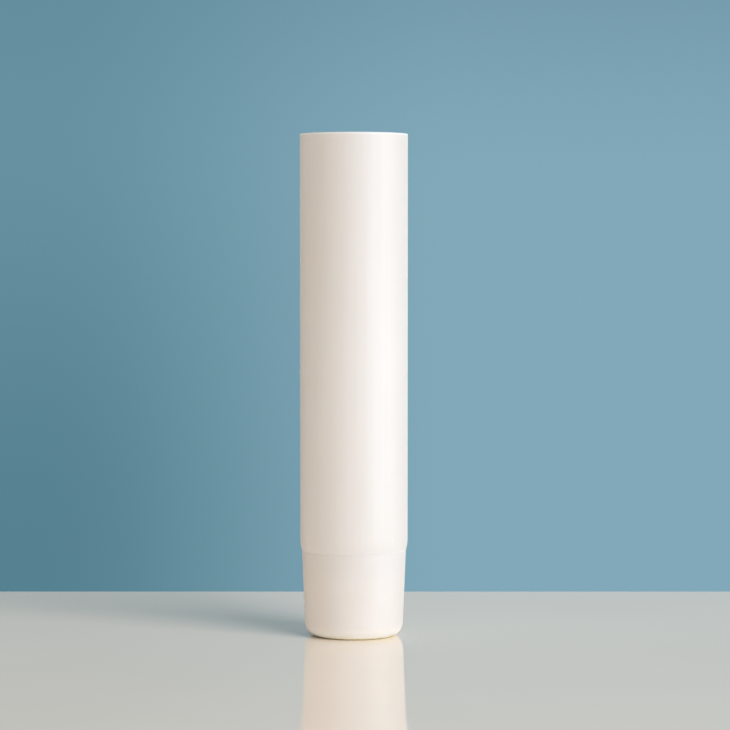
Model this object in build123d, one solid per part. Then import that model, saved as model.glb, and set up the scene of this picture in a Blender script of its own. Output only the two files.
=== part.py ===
"""Massage roller tube: an open-ended cosmetics tube that stands on its cap.

The tube's axis is Z. The origin is the centre of the cap's resting face, which is the lowest point, and
the sleeve's open end is at the top. The roller head hangs from the sleeve's welded end into the cap, so
its face and its steel balls look down. Sizes are in millimetres.
"""

import os
from math import cos, floor, pi, radians, sin, sqrt, tan

from build123d import *

# Sleeve: extruded and thin, cut square at the open end and turned in at the welded end
SLEEVE_D = 35.0
SLEEVE_WALL = 0.5
SLEEVE_LENGTH = 135.1
CUT_EDGE = 0.25
END_INSET = 0.45
END_TURN_HEIGHT = 3.8

# Cap: a drafted cup with a rounded corner at its closed end, which is its foot here
CAP_HEIGHT = 28.0
CAP_STEP = 0.1
CAP_DRAFT_DEG = 2.3
CAP_CORNER_R = 4.2
CAP_RIM_R = 0.12
CAP_LEAD_R = 0.3
CAP_RIM_WALL = 1.0
CAP_WALL = 1.5
CAP_FLOOR = 2.0
CAP_FLOOR_R = 0.6
SEAM_GAP = 0.03

# Cap liner: a disc on the cap's floor, with a ring below the balls and a pin in the outlet
LINER_THICKNESS = 0.9
LINER_FIT = 0.08
LINER_BEAD_PROUD = 0.3
LINER_BEAD_R = 0.35
LINER_RING_HEIGHT = 1.7
LINER_RING_WIDTH = 3.2
PIN_DEPTH = 1.6
PIN_FIT = 0.15
PIN_TIP_R = 0.7

# Roller balls, the largest stock size that leaves the web between their sockets
BALL_COUNT = 3
BALL_SIZE_STEP = 0.5
SOCKET_WEB = 3.5
BALL_FIT = 0.05
BALL_PAD_GAP = 0.2
FIRST_BALL_DEG = -90.0
CUP_WALL = 0.85
CUP_INSET = 0.3
CUP_BACK = 1.95
CUP_FEED_D = 2.2
FEED_MARGIN = 0.2

# Roller head's face
FACE_THICKNESS = 1.3
FACE_CROWN_R = 80.0
FACE_EDGE_R = 1.5
BEZEL_HEIGHT = 0.4
BEZEL_WIDTH = 0.9
BEZEL_EDGE_R = 0.25
OUTLET_D = 2.6
OUTLET_ROUND_R = 0.6

# Roller head's body and the collar that the cap pushes on to
HEAD_GAP = 0.9
HEAD_WALL = 1.3
COLLAR_HEIGHT = 6.8
COLLAR_WALL = 1.3
COLLAR_FIT = 0.1
COLLAR_EDGE_R = 0.2
SNAP_BEAD_R = 0.4
SNAP_PROUD = 0.06
SNAP_CLEARANCE = 0.05
SNAP_HEIGHT = 3.6

# Ball seat: a plate with the cups below it and a skirt above it that grips the neck
SEAT_PLATE = 1.4
SEAT_FIT = 0.05
SEAT_RIM = 2.84
SEAT_TUBE_WALL = 1.1
SEAT_BEAD_R = 0.35
SEAT_BEAD_PROUD = 0.2
SKIRT_WALL = 1.25
SKIRT_FIT = 0.06
SKIRT_GAP = 0.8
SKIRT_ROOT_R = 0.4
GUSSET_COUNT = 6
GUSSET_THICKNESS = 1.0
GUSSET_HEIGHT = 3.6
GUSSET_MARGIN = 0.4

# Shoulder and neck, welded into the sleeve
SHOULDER_THICKNESS = 1.4
WELD_HEIGHT = 2.7
NECK_LENGTH = 6.0
NECK_WALL = 1.5
NECK_ROOT_R = 0.4
NECK_LIP_R = 0.3
NECK_BEAD_R = 0.5
NECK_BEAD_PROUD = 0.3
NECK_BEAD_RISE = 2.6
GASKET_THICKNESS = 1.1
GASKET_LEDGE = 1.1
GASKET_FIT = 0.1
LOCATING_RING_DEPTH = 1.0
LOCATING_RING_WALL = 0.9
LOCATING_FIT = 0.1


def cap_outer_r(z):
    """Outside radius of the drafted cap at height z."""
    return cap_rim_r - (CAP_HEIGHT - z) * tan(radians(CAP_DRAFT_DEG))


def cap_inner_r(z):
    """Inside radius of the cap below the collar's seat, at height z."""
    return cap_outer_r(z) - CAP_WALL


def largest_ball_r():
    """Radius of the largest stock ball that leaves the web between neighbouring sockets."""
    half_turn = sin(pi / BALL_COUNT)
    room = (socket_room * half_turn - BALL_FIT - SOCKET_WEB / 2) / (1 + half_turn)
    return floor(2 * room / BALL_SIZE_STEP) * BALL_SIZE_STEP / 2


# Radii of the sleeve and the cap, and of the collar between them
sleeve_r = SLEEVE_D / 2
turn_r = (END_TURN_HEIGHT**2 + END_INSET**2) / (2 * END_INSET)
turn_centre = sleeve_r - turn_r
inner_turn_r = turn_r - SLEEVE_WALL
cap_rim_r = sleeve_r - END_INSET - CAP_STEP
cap_seat_r = cap_rim_r - CAP_RIM_WALL
collar_r = cap_seat_r - COLLAR_FIT
collar_inner_r = collar_r - COLLAR_WALL

# Radii of the roller head, from the room in the cap inward to the balls and the neck
head_r = cap_inner_r(CAP_FLOOR) - HEAD_GAP
head_inner_r = head_r - HEAD_WALL
seat_r = head_inner_r - SEAT_FIT
socket_room = seat_r - CUP_INSET - CUP_WALL - BALL_FIT
ball_r = largest_ball_r()
socket_r = ball_r + BALL_FIT
cup_r = socket_r + CUP_WALL
pitch_r = socket_room - ball_r
skirt_r = seat_r - SEAT_RIM
neck_r = skirt_r - SKIRT_WALL - SKIRT_FIT
neck_bore_r = neck_r - NECK_WALL
neck_bead_r = neck_r + NECK_BEAD_PROUD - NECK_BEAD_R
ledge_r = neck_r - GASKET_LEDGE
feed_r = ledge_r - FEED_MARGIN - CUP_FEED_D / 2
outlet_r = OUTLET_D / 2

# Heights that several pieces share, upward from the floor
liner_top = CAP_FLOOR + LINER_THICKNESS
pad_top = liner_top + LINER_RING_HEIGHT
ball_z = pad_top + BALL_PAD_GAP + ball_r
lip_z = ball_z - FACE_THICKNESS
plate_top = ball_z + socket_r + CUP_BACK
plate_bottom = plate_top - SEAT_PLATE
sleeve_end = CAP_HEIGHT + SEAM_GAP
sleeve_top = sleeve_end + SLEEVE_LENGTH
turn_z = sleeve_end + END_TURN_HEIGHT
neck_end = sleeve_end - NECK_LENGTH
ledge_z = neck_end - GASKET_THICKNESS
neck_bead_z = neck_end + NECK_BEAD_RISE
collar_z = sleeve_end - COLLAR_HEIGHT
snap_z = collar_z + SNAP_HEIGHT


def turn_radius_at(radius, z):
    """Distance from the axis of a sleeve surface that turns in along an arc of the given radius."""
    return turn_centre + sqrt(radius**2 - (z - turn_z) ** 2)


def turn_arc(radius, low, high):
    """The arc, in (radius, height), of a turned-in sleeve surface between two heights."""
    heights = (low, (low + high) / 2, high)
    return ThreePointArc(*[(turn_radius_at(radius, z), z) for z in heights])


def face_z(r):
    """Height of the crowned face of the roller head at distance r from the axis."""
    crown = lip_z - FACE_CROWN_R + sqrt(FACE_CROWN_R**2 - pitch_r**2)
    return crown + FACE_CROWN_R - sqrt(FACE_CROWN_R**2 - r**2)


def turned(outline, rounds=()):
    """Solid turned about Z from closed (radius, height) edges; rounds lists (corner, radius) to fillet."""
    face = make_face(outline)
    for point, radius in rounds:
        corner = face.vertices().sort_by_distance(Vector(*point))[0]
        face = fillet(corner, radius)
    return revolve(Plane.XZ * face, Axis.Z)


def ring(outer, inner, low, high):
    """Plain ring about Z between two radii and two heights."""
    return turned(Polyline((inner, low), (outer, low), (outer, high), (inner, high), close=True))


def inner_bead(wall_r, proud, bead_r, z):
    """Round bead inside a bore of radius wall_r, standing proud of it towards the axis."""
    return Pos(0, 0, z) * Torus(wall_r - proud + bead_r, bead_r)


def ball_places(radius):
    """Places at the balls' height and directions, at the given distance from the axis."""
    for index in range(BALL_COUNT):
        turn = radians(FIRST_BALL_DEG + index * 360.0 / BALL_COUNT)
        yield Pos(radius * cos(turn), radius * sin(turn), ball_z)


def tube_sleeve():
    """Extruded sleeve, open at the top, its lower end turned in over the shoulder."""
    inner_r = sleeve_r - SLEEVE_WALL
    outer_turn = turn_arc(turn_r, sleeve_end, turn_z)
    inner_turn = turn_arc(inner_turn_r, sleeve_end, turn_z)
    outer_top = (sleeve_r, sleeve_top)
    straight = Polyline(outer_turn @ 1, outer_top, (inner_r, sleeve_top), inner_turn @ 1)
    end = Line(inner_turn @ 0, outer_turn @ 0)
    return turned([outer_turn, straight, inner_turn, end], [(outer_top, CUT_EDGE)])


def tube_shoulder():
    """Moulded shoulder plate with the neck, its rim welded inside the sleeve's turned-in end."""
    weld = turn_arc(inner_turn_r, sleeve_end, sleeve_end + WELD_HEIGHT)
    lip = (neck_r, neck_end)
    root = (neck_r, sleeve_end)
    inside = Polyline(
        weld @ 1,
        (neck_bore_r, sleeve_end + SHOULDER_THICKNESS),
        (neck_bore_r, neck_end),
        lip,
        root,
        weld @ 0,
    )
    shoulder = turned([weld, inside], [(lip, NECK_LIP_R), (root, NECK_ROOT_R)])
    shoulder += Pos(0, 0, neck_bead_z) * Torus(neck_bead_r, NECK_BEAD_R)
    locating_r = collar_inner_r - LOCATING_FIT
    locating_z = sleeve_end - LOCATING_RING_DEPTH
    return shoulder + ring(locating_r, locating_r - LOCATING_RING_WALL, locating_z, sleeve_end)


def neck_gasket():
    """Flat ring that the neck's end presses on to the seat's ledge."""
    return ring(neck_r - GASKET_FIT, neck_bore_r + GASKET_FIT, ledge_z, neck_end)


def gusset():
    """One rib between the seat's plate and its skirt, in the plane of Y = 0."""
    foot = seat_r - GUSSET_MARGIN
    root = skirt_r - SKIRT_WALL / 2
    corner = plate_top - SEAT_PLATE / 2
    tip = plate_top + GUSSET_HEIGHT
    outline = Polyline(
        (root, corner), (foot, corner), (foot, plate_top), (skirt_r, tip), (root, tip), close=True
    )
    return extrude(Plane.XZ * make_face(outline), GUSSET_THICKNESS / 2, both=True)


def ball_seat():
    """Carrier of the balls: plate, cups, outlet tube and the ribbed skirt that snaps on the neck."""
    skirt_top = sleeve_end - SKIRT_GAP
    bore_r = neck_r + SKIRT_FIT
    outline = Polyline(
        (outlet_r, plate_bottom),
        (seat_r, plate_bottom),
        (seat_r, plate_top),
        (skirt_r, plate_top),
        (skirt_r, skirt_top),
        (bore_r, skirt_top),
        (bore_r, ledge_z),
        (ledge_r, ledge_z),
        (ledge_r, plate_top),
        (outlet_r, plate_top),
        close=True,
    )
    seat = turned(outline, [((skirt_r, plate_top), SKIRT_ROOT_R)])
    seat += ring(outlet_r + SEAT_TUBE_WALL, outlet_r, ball_z, plate_top)
    for index in range(GUSSET_COUNT):
        seat += Rot(0, 0, (index + 0.5) * 360.0 / GUSSET_COUNT) * gusset()
    cup_height = plate_top - SEAT_PLATE / 2 - ball_z
    upward = (Align.CENTER, Align.CENTER, Align.MIN)
    for place in ball_places(pitch_r):
        seat += place * Cylinder(cup_r, cup_height, align=upward)
    for place in ball_places(pitch_r):
        seat -= place * Sphere(socket_r)
    for place in ball_places(feed_r):
        seat -= place * Cylinder(CUP_FEED_D / 2, plate_top - ball_z, align=upward)
    seat -= Pos(0, 0, ball_z) * Cylinder(outlet_r, plate_top - ball_z, align=upward)
    return seat - Pos(0, 0, neck_bead_z) * Torus(neck_bead_r, NECK_BEAD_R + SKIRT_FIT)


def head_cover():
    """Visible moulding of the roller head: collar, body and crowned face with the ball windows."""
    shelf_z = collar_z + COLLAR_WALL
    middle_r = (outlet_r + head_r) / 2
    outlet_edge = (outlet_r, face_z(outlet_r))
    edge = (head_r, face_z(head_r))
    crown = ThreePointArc(outlet_edge, (middle_r, face_z(middle_r)), edge)
    neck_in = (head_r, collar_z)
    collar_low = (collar_r, collar_z)
    walls = Polyline(
        edge,
        neck_in,
        collar_low,
        (collar_r, sleeve_end),
        (collar_inner_r, sleeve_end),
        (collar_inner_r, shelf_z),
        (head_inner_r, shelf_z),
        (head_inner_r, ball_z),
        (outlet_r, ball_z),
        outlet_edge,
    )
    rounds = [(edge, FACE_EDGE_R), (collar_low, COLLAR_EDGE_R), (outlet_edge, OUTLET_ROUND_R)]
    cover = turned([crown, walls], rounds)
    cover += inner_bead(head_inner_r, SEAT_BEAD_PROUD, SEAT_BEAD_R, plate_top + SEAT_BEAD_R)
    bezel_z = lip_z - BEZEL_HEIGHT
    window_r = sqrt(socket_r**2 - (ball_z - bezel_z) ** 2)
    for place in ball_places(pitch_r):
        bezel = Cylinder(
            window_r + BEZEL_WIDTH, ball_z - bezel_z, align=(Align.CENTER, Align.CENTER, Align.MAX)
        )
        cover += place * fillet(bezel.edges().group_by(Axis.Z)[0], BEZEL_EDGE_R)
    for place in ball_places(pitch_r):
        cover -= place * Sphere(socket_r)
    groove_r = collar_r + SNAP_BEAD_R - SNAP_PROUD + COLLAR_FIT
    return cover - Pos(0, 0, snap_z) * Torus(groove_r, SNAP_BEAD_R + SNAP_CLEARANCE)


def cap_liner():
    """Disc on the cap's floor, with the ring under the balls and the pin that plugs the outlet."""
    disc_r = cap_inner_r(CAP_FLOOR) - LINER_FIT
    ring_out = pitch_r + LINER_RING_WIDTH / 2
    ring_in = pitch_r - LINER_RING_WIDTH / 2
    pin_r = outlet_r - PIN_FIT
    pin_top = face_z(0) + PIN_DEPTH
    outline = Polyline(
        (0, CAP_FLOOR),
        (disc_r, CAP_FLOOR),
        (disc_r, liner_top),
        (ring_out, liner_top),
        (ring_out, pad_top),
        (ring_in, pad_top),
        (ring_in, liner_top),
        (pin_r, liner_top),
        (pin_r, pin_top),
        (0, pin_top),
        close=True,
    )
    return turned(outline, [((disc_r, CAP_FLOOR), CAP_FLOOR_R), ((pin_r, pin_top), PIN_TIP_R)])


def cap_shell():
    """Cap: drafted cup whose closed end is the foot, with a straight seat for the head's collar."""
    foot = (cap_outer_r(0), 0)
    rim_out = (cap_rim_r, CAP_HEIGHT)
    rim_in = (cap_seat_r, CAP_HEIGHT)
    floor_edge = (cap_inner_r(CAP_FLOOR), CAP_FLOOR)
    outline = Polyline(
        (0, 0),
        foot,
        rim_out,
        rim_in,
        (cap_seat_r, collar_z),
        (cap_inner_r(collar_z), collar_z),
        floor_edge,
        (0, CAP_FLOOR),
        close=True,
    )
    rounds = [(foot, CAP_CORNER_R), (rim_out, CAP_RIM_R), (rim_in, CAP_LEAD_R), (floor_edge, CAP_FLOOR_R)]
    shell = turned(outline, rounds)
    shell += inner_bead(cap_seat_r, SNAP_PROUD, SNAP_BEAD_R, snap_z)
    bead_z = liner_top + LINER_BEAD_R
    return shell + inner_bead(cap_inner_r(bead_z), LINER_BEAD_PROUD, LINER_BEAD_R, bead_z)


pieces = {
    "cap_shell": cap_shell(),
    "cap_liner": cap_liner(),
    "tube_sleeve": tube_sleeve(),
    "tube_shoulder": tube_shoulder(),
    "neck_gasket": neck_gasket(),
    "ball_seat": ball_seat(),
    "head_cover": head_cover(),
}
for number, place in enumerate(ball_places(pitch_r), start=1):
    pieces[f"roller_ball_{number}"] = place * Sphere(ball_r)

os.makedirs("parts", exist_ok=True)
for name, piece in pieces.items():
    export_step(piece, f"parts/{name}.step")
print("overall height", round(sleeve_top, 2), "neck diameter", round(2 * neck_r, 2))
print("ball diameter", 2 * ball_r, "at radius", round(pitch_r, 3))
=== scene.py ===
from math import radians

import bmesh
import bpy
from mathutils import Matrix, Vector


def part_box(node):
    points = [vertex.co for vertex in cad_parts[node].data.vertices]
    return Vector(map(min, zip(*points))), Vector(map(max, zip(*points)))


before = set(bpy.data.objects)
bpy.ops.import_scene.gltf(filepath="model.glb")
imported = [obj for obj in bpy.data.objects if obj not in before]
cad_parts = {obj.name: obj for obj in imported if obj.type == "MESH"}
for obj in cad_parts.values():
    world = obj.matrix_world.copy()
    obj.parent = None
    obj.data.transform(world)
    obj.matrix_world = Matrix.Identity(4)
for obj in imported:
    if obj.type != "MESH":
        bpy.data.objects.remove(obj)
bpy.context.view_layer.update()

# The photograph's camera: lens for a 36 mm sensor, place in metres, and its tilt below the horizontal
LENS_MM = 136.1
SENSOR_MM = 36.0
CAMERA_RIGHT = 0.00361
CAMERA_BACK = 0.897
CAMERA_HEIGHT = 0.12589
CAMERA_DOWN_DEG = 2.408

# Table slab, in metres: its reach from the object's middle, its thickness and its rounded edge
FLOOR_BEHIND = 0.1147
FLOOR_FRONT = 0.9
FLOOR_SIDE = 0.9
FLOOR_THICKNESS = 0.03
FLOOR_EDGE = 0.0012

# Boxes of the two pieces that meet at the seam
SLEEVE_LOW, SLEEVE_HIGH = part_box("tube_sleeve")
CAP_LOW, CAP_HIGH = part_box("cap_shell")

# Painted light, as paler tints near the pieces' ends: the distances from a piece's end at which its tint
# starts and is full, for a painted highlight under the cut rim, painted light that lightens the seam's shade
# beside it, and for a painted warm glow in two layers above the cap's foot
RIM_HIGHLIGHT_FADE = (0.0008, 0.0003)
SEAM_PAINTED_LIGHT_FADE = (0.0003, 0.0001)
CORNER_PAINTED_GLOW_FADE = (0.0045, 0.0008)
FOOT_PAINTED_GLOW_FADE = (0.0013, 0.0001)

# Radii between which the cap's flat foot gives way to its rounded corner
FOOT_RADII = (0.0119, 0.0125)

# Reach of light inside the plastics, in metres, and inside the cap, whose corner is thick
SCATTER = 0.0012
CAP_SCATTER = 0.0025

# Lamps that light the object alone: name, place, target, width, height, power and colour. They are the
# large cool window at the right and a little in front, a warm panel in front that faces down, a low
# cool card for the cap, a strip behind that edges the right side, and a panel behind for the back.
MIDDLE = (0, 0, 0.08)
OBJECT_LAMPS = (
    ("key", (1.254, -0.724, 0.12), MIDDLE, 1.3, 0.24, 14.0, (0.741, 0.852, 1.0)),
    ("front", (-0.15, -0.45, 0.2), (-0.15, -0.45, 0), 0.4, 0.4, 0.48, (1.0, 0.875, 0.625)),
    ("card", (0.03, -0.6, 0.04), (0, 0, 0.02), 0.9, 0.07, 0.61, (0.693, 0.762, 1.0)),
    ("edge_strip", (0.42, 0.95, 0.3), MIDDLE, 0.16, 0.9, 0.8, (0.85, 0.97, 1.0)),
    ("back", (0, 1.3, 0.25), MIDDLE, 0.5, 0.5, 3.5, (0.96, 0.97, 1.0)),
)

# The window as the table sees it: the way to it, its breadth, its strength and its colour
SUN_WAY = (1.25, -1.39, 0.7)
SUN_BREADTH_DEG = 42
SUN_STRENGTH = 5.8
SUN_COLOUR = (1.0, 0.909, 0.865)

# Even light from all sides
FILL_COLOUR = (0.53, 0.493, 0.45, 1.0)

# Parts of the view's direction between which the wall's colour changes: sideways, upward, near its top
WALL_ACROSS = (-0.12, 0.04)
WALL_UP = (-0.11, 0.06)
WALL_TOP = (0.02, 0.13)


def srgb(red, green, blue):
    """Linear colour from the 0 to 255 values that a picture shows."""
    linear = []
    for value in (red, green, blue):
        part = value / 255
        linear.append(part / 12.92 if part <= 0.04045 else ((part + 0.055) / 1.055) ** 2.4)
    return (*linear, 1.0)


def connect(tree, node, inputs):
    """Gives each named input of a node its value, or links it to another node's output."""
    for name, value in inputs.items():
        if isinstance(value, bpy.types.NodeSocket):
            tree.links.new(value, node.inputs[name])
        else:
            node.inputs[name].default_value = value


def add(tree, kind, inputs=None, **settings):
    """A new node with its settings, and its inputs given as values or as other nodes' outputs."""
    made = tree.nodes.new(kind)
    for name, value in settings.items():
        setattr(made, name, value)
    connect(tree, made, inputs or {})
    return made


def new_material(name):
    """An empty node material: the material, its node tree and its shader."""
    made = bpy.data.materials.new(name)
    made.use_nodes = True
    return made, made.node_tree, made.node_tree.nodes["Principled BSDF"]


def object_place(tree):
    """The shaded point, in the object's own metres."""
    return add(tree, "ShaderNodeTexCoord").outputs["Object"]


def noise(tree, scale, stretch=(1, 1, 1), detail=3.0, roughness=0.55):
    """Noise on the object's own coordinates, scale in features a metre."""
    mapped = add(tree, "ShaderNodeMapping", {"Vector": object_place(tree), "Scale": stretch})
    inputs = {"Vector": mapped.outputs["Vector"], "Scale": scale, "Detail": detail, "Roughness": roughness}
    return add(tree, "ShaderNodeTexNoise", inputs).outputs["Fac"]


def spread(tree, value, low, high, start=0.3, end=0.7):
    """The value, where it runs from start to end, spread from low to high."""
    inputs = {"Value": value, "From Min": start, "From Max": end, "To Min": low, "To Max": high}
    return add(tree, "ShaderNodeMapRange", inputs).outputs["Result"]


def smooth_step(tree, value, start, full):
    """0 on the far side of start, 1 on the far side of full, and a smooth step between them."""
    inputs = {"Value": value, "From Min": start, "From Max": full}
    return add(tree, "ShaderNodeMapRange", inputs, interpolation_type="SMOOTHSTEP").outputs["Result"]


def height_band(tree, end, way, fade):
    """1 at a piece's end and 0 further off, by a fade's distances up (way 1) or down (way -1) from it."""
    height = add(tree, "ShaderNodeSeparateXYZ", {"Vector": object_place(tree)}).outputs["Z"]
    start, full = fade
    return smooth_step(tree, height, end + way * start, end + way * full)


def radius_band(tree, start, full):
    """A smooth step from 0 to 1 in the distance from the object's axis."""
    inputs = {0: object_place(tree), 1: (1, 1, 0)}
    flat = add(tree, "ShaderNodeVectorMath", inputs, operation="MULTIPLY").outputs["Vector"]
    radius = add(tree, "ShaderNodeVectorMath", {0: flat}, operation="LENGTH").outputs["Value"]
    return smooth_step(tree, radius, start, full)


def calculate(tree, operation, first, second):
    """One value worked out from two others."""
    return add(tree, "ShaderNodeMath", {0: first, 1: second}, operation=operation).outputs["Value"]


def mix(tree, factor, first, second):
    """Colour between two colours."""
    return add(tree, "ShaderNodeMix", {0: factor, 6: first, 7: second}, data_type="RGBA").outputs[2]


def bump(tree, height, distance, normal=None):
    """Bump of a height from 0 to 1 that stands for distance, in metres."""
    inputs = {"Height": height, "Distance": distance, "Strength": 1.0}
    if normal:
        inputs["Normal"] = normal
    return add(tree, "ShaderNodeBump", inputs).outputs["Normal"]


def sleeve_plastic():
    """Extruded cream polyethylene: die lines along the tube, a faint cloud in its colour, a painted
    highlight under its cut rim and painted light at its end beside the seam.
    """
    made, tree, shader = new_material("sleeve_plastic")
    cloud = noise(tree, 45, stretch=(1, 1, 0.35))
    lines = noise(tree, 900, stretch=(1, 1, 0.012), detail=4.0)
    grain = noise(tree, 5200, detail=2.0)
    base = mix(tree, spread(tree, cloud, 0.0, 1.0), srgb(243, 236, 229), srgb(239, 231, 222))
    base = mix(tree, spread(tree, lines, 0.0, 0.35), base, srgb(236, 228, 219))
    # Painted highlight: the band under the cut rim is tinted near-white in place of the light it would catch
    base = mix(tree, height_band(tree, SLEEVE_HIGH.z, -1, RIM_HIGHLIGHT_FADE), base, srgb(255, 253, 250))
    # Painted light: the sleeve's end beside the seam is tinted paler to lighten the seam's shade
    base = mix(tree, height_band(tree, SLEEVE_LOW.z, 1, SEAM_PAINTED_LIGHT_FADE), base, srgb(247, 241, 235))
    relief = bump(tree, lines, 6e-6)
    relief = bump(tree, cloud, 8e-5, relief)
    relief = bump(tree, grain, 1.5e-6, relief)
    connect(tree, shader, {
        "Base Color": base,
        "Roughness": spread(tree, lines, 0.44, 0.54),
        "Normal": relief,
        "IOR": 1.5,
        "Subsurface Weight": 0.12,
        "Subsurface Scale": SCATTER,
        "Subsurface Radius": (1.0, 0.7, 0.5),
    })
    return made


def moulded_plastic(name, light, dark, roughness, grain_depth, subsurface=0.25):
    """Injection-moulded plastic: a soft cloud in its colour and the mould's fine spark-eroded grain."""
    made, tree, shader = new_material(name)
    cloud = noise(tree, 60)
    flow = noise(tree, 240, stretch=(1, 1, 0.25), detail=4.0)
    grain = noise(tree, 7000, detail=2.0)
    base = mix(tree, spread(tree, cloud, 0.0, 1.0), light, dark)
    base = mix(tree, spread(tree, flow, 0.0, 0.3), base, dark)
    relief = bump(tree, flow, 1.2e-5)
    relief = bump(tree, grain, grain_depth, relief)
    connect(tree, shader, {
        "Base Color": base,
        "Roughness": spread(tree, flow, roughness - 0.04, roughness + 0.05),
        "Normal": relief,
        "IOR": 1.49,
        "Subsurface Weight": subsurface,
        "Subsurface Scale": SCATTER,
        "Subsurface Radius": (1.0, 0.8, 0.5),
    })
    return made


def cap_plastic(light, dark):
    """The cap's moulded plastic, with a painted warm glow over its rounded foot and painted light at its rim
    beside the seam; more light scatters inside its rounded foot.
    """
    made = moulded_plastic("cap_plastic", light, dark, roughness=0.48, grain_depth=2.5e-6)
    tree = made.node_tree
    shader = tree.nodes["Principled BSDF"]
    rounded = radius_band(tree, *FOOT_RADII)
    # Painted warm glow over the rounded foot: a broad pale-warm layer (corner) and a thin golden layer at
    # the contact (edge); the broad layer also raises the subsurface weight
    corner = calculate(tree, "MULTIPLY", height_band(tree, CAP_LOW.z, 1, CORNER_PAINTED_GLOW_FADE), rounded)
    edge = calculate(tree, "MULTIPLY", height_band(tree, CAP_LOW.z, 1, FOOT_PAINTED_GLOW_FADE), rounded)
    base = shader.inputs["Base Color"].links[0].from_socket
    base = mix(tree, corner, base, srgb(255, 244, 230))
    base = mix(tree, edge, base, srgb(255, 236, 196))
    # Painted light: the cap's rim beside the seam is tinted paler to lighten the seam's shade
    base = mix(tree, height_band(tree, CAP_HIGH.z, -1, SEAM_PAINTED_LIGHT_FADE), base, srgb(250, 245, 240))
    connect(tree, shader, {
        "Base Color": base,
        "Subsurface Weight": spread(tree, corner, 0.25, 0.9, start=0.0, end=1.0),
        "Subsurface Scale": CAP_SCATTER,
        "Subsurface Radius": (0.95, 0.9, 0.7),
    })
    return made


def polished_steel():
    """Ground and polished ball steel: fine lapping marks in its gloss and a faint cloud in its tone."""
    made, tree, shader = new_material("polished_steel")
    cloud = noise(tree, 300)
    marks = noise(tree, 2600, stretch=(1, 1, 6), detail=5.0)
    connect(tree, shader, {
        "Base Color": mix(tree, spread(tree, cloud, 0.0, 1.0), srgb(226, 227, 228), srgb(214, 215, 217)),
        "Roughness": spread(tree, marks, 0.06, 0.14),
        "Normal": bump(tree, marks, 1.2e-6),
        "Metallic": 1.0,
    })
    return made


def foam_rubber():
    """Closed-cell gasket rubber: pitted skin, mottled grey."""
    made, tree, shader = new_material("foam_rubber")
    cells = noise(tree, 3800, detail=4.0, roughness=0.7)
    connect(tree, shader, {
        "Base Color": mix(tree, spread(tree, cells, 0.0, 1.0), srgb(196, 195, 192), srgb(160, 159, 157)),
        "Roughness": spread(tree, cells, 0.7, 0.9),
        "Normal": bump(tree, cells, 4e-5),
    })
    return made


def dress_nodes():
    """Gives each CAD node its material; those without one of their own are the balls, of steel."""
    cream = (srgb(243, 235, 227), srgb(239, 230, 220))
    natural = (srgb(238, 236, 230), srgb(230, 227, 219))
    cap = cap_plastic(*cream)
    head = moulded_plastic("head_plastic", *cream, roughness=0.22, grain_depth=8e-7)
    shoulder = moulded_plastic("shoulder_plastic", *cream, roughness=0.45, grain_depth=3e-6)
    liner = moulded_plastic("liner_plastic", *natural, roughness=0.36, grain_depth=2e-6, subsurface=0.3)
    seat = moulded_plastic("seat_plastic", *natural, roughness=0.3, grain_depth=1e-6)
    steel = polished_steel()
    dress = {
        "tube_sleeve": sleeve_plastic(),
        "cap_shell": cap,
        "cap_liner": liner,
        "tube_shoulder": shoulder,
        "neck_gasket": foam_rubber(),
        "ball_seat": seat,
        "head_cover": head,
    }
    for name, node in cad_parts.items():
        node.data.materials.clear()
        node.data.materials.append(dress.get(name, steel))


def floor_material():
    """Pale polished table top, with a faint mottle and an uneven gloss."""
    made, tree, shader = new_material("pale_table")
    cloud = noise(tree, 6)
    fine = noise(tree, 900, detail=2.0)
    connect(tree, shader, {
        "Base Color": mix(tree, spread(tree, cloud, 0.0, 1.0), srgb(217, 212, 204), srgb(213, 208, 200)),
        "Roughness": spread(tree, fine, 0.05, 0.08),
        "IOR": 1.5,
    })
    return made


def make_floor():
    """Table slab with its top at z = 0 and its back edge a little way behind the object."""
    mesh = bpy.data.meshes.new("floor")
    shape = bmesh.new()
    bmesh.ops.create_cube(shape, size=1.0)
    depth = FLOOR_BEHIND + FLOOR_FRONT
    bmesh.ops.scale(shape, vec=(2 * FLOOR_SIDE, depth, FLOOR_THICKNESS), verts=shape.verts)
    centre = Vector((0, (FLOOR_BEHIND - FLOOR_FRONT) / 2, -FLOOR_THICKNESS / 2))
    bmesh.ops.translate(shape, vec=centre, verts=shape.verts)
    bmesh.ops.bevel(shape, geom=shape.edges[:], offset=FLOOR_EDGE, segments=3, affect="EDGES")
    shape.to_mesh(mesh)
    shape.free()
    mesh.materials.append(floor_material())
    floor = bpy.data.objects.new("floor", mesh)
    bpy.context.scene.collection.objects.link(floor)
    return floor


def area_light(name, place, target, width, height, power, colour):
    """Rectangular lamp at a place, facing a target, that the camera doesn't see."""
    lamp = bpy.data.lights.new(name, "AREA")
    lamp.shape = "RECTANGLE"
    lamp.size = width
    lamp.size_y = height
    lamp.energy = power
    lamp.color = colour
    made = bpy.data.objects.new(name, lamp)
    made.location = place
    made.rotation_euler = (Vector(target) - Vector(place)).to_track_quat("-Z", "Y").to_euler()
    made.visible_camera = False
    bpy.context.scene.collection.objects.link(made)
    return made


def table_sun():
    """The window's light on the table: even all over, with a soft shadow, and without its mirror image."""
    lamp = bpy.data.lights.new("table_sun", "SUN")
    lamp.angle = radians(SUN_BREADTH_DEG)
    lamp.energy = SUN_STRENGTH
    lamp.color = SUN_COLOUR
    made = bpy.data.objects.new("table_sun", lamp)
    made.rotation_euler = Vector(SUN_WAY).to_track_quat("Z", "Y").to_euler()
    made.visible_glossy = False
    bpy.context.scene.collection.objects.link(made)
    return made


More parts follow.
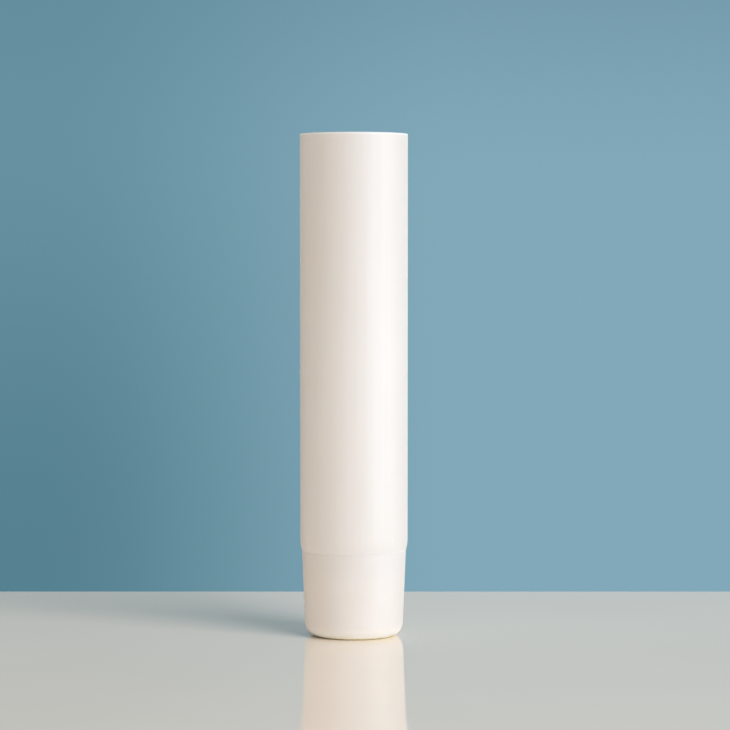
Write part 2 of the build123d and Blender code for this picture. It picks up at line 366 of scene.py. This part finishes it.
def lit_by(name, floor, state):
    """The objects that a lamp lights: the floor alone, or all but the floor."""
    made = bpy.data.collections.new(name)
    made.objects.link(floor)
    made.collection_objects[0].light_linking.link_state = state
    return made


def make_lights(floor):
    """The object's lamps, which the table doesn't mirror as bright patches, and the table's own sun."""
    on_object = lit_by("on_object", floor, "EXCLUDE")
    on_table = lit_by("on_table", floor, "INCLUDE")
    for settings in OBJECT_LAMPS:
        area_light(*settings).light_linking.receiver_collection = on_object
    table_sun().light_linking.receiver_collection = on_table


def wall_colour(tree, path):
    """Blue-grey wall, paler to the right, and with a darker top for the camera alone."""
    view = add(tree, "ShaderNodeTexCoord").outputs["Generated"]
    view = add(tree, "ShaderNodeSeparateXYZ", {"Vector": view}).outputs
    rightward = smooth_step(tree, view["X"], *WALL_ACROSS)
    upward = smooth_step(tree, view["Z"], *WALL_UP)
    high = smooth_step(tree, view["Z"], *WALL_TOP)
    wall = mix(tree, upward, srgb(86, 129, 145), srgb(104, 146, 162))
    wall = mix(tree, rightward, wall, srgb(130, 169, 185))
    top = mix(tree, rightward, srgb(98, 140, 156), srgb(112, 150, 167))
    return mix(tree, calculate(tree, "MULTIPLY", high, path["Is Camera Ray"]), wall, top)


def make_world():
    """Warm even fill for the surfaces, and the wall for the camera, mirrors and clear things."""
    world = bpy.data.worlds.new("studio")
    world.use_nodes = True
    tree = world.node_tree
    tree.nodes.clear()
    path = add(tree, "ShaderNodeLightPath").outputs
    seen = calculate(tree, "MAXIMUM", path["Is Camera Ray"], path["Is Glossy Ray"])
    seen = calculate(tree, "MAXIMUM", seen, path["Is Transmission Ray"])
    fill = add(tree, "ShaderNodeBackground", {"Color": FILL_COLOUR, "Strength": 1.0})
    beyond = add(tree, "ShaderNodeBackground", {"Color": wall_colour(tree, path), "Strength": 1.0})
    inputs = {0: seen, 1: fill.outputs[0], 2: beyond.outputs[0]}
    both = add(tree, "ShaderNodeMixShader", inputs)
    add(tree, "ShaderNodeOutputWorld", {"Surface": both.outputs[0]})
    bpy.context.scene.world = world


def make_camera():
    """The photograph's camera: level across, looking along +Y and a little down."""
    data = bpy.data.cameras.new("camera")
    data.sensor_width = SENSOR_MM
    data.lens = LENS_MM
    camera = bpy.data.objects.new("camera", data)
    camera.location = (CAMERA_RIGHT, -CAMERA_BACK, CAMERA_HEIGHT)
    camera.rotation_euler = (radians(90 - CAMERA_DOWN_DEG), 0, 0)
    bpy.context.scene.collection.objects.link(camera)
    bpy.context.scene.camera = camera


make_camera()
make_world()
make_lights(make_floor())
dress_nodes()
bpy.context.scene.view_settings.view_transform = "Standard"
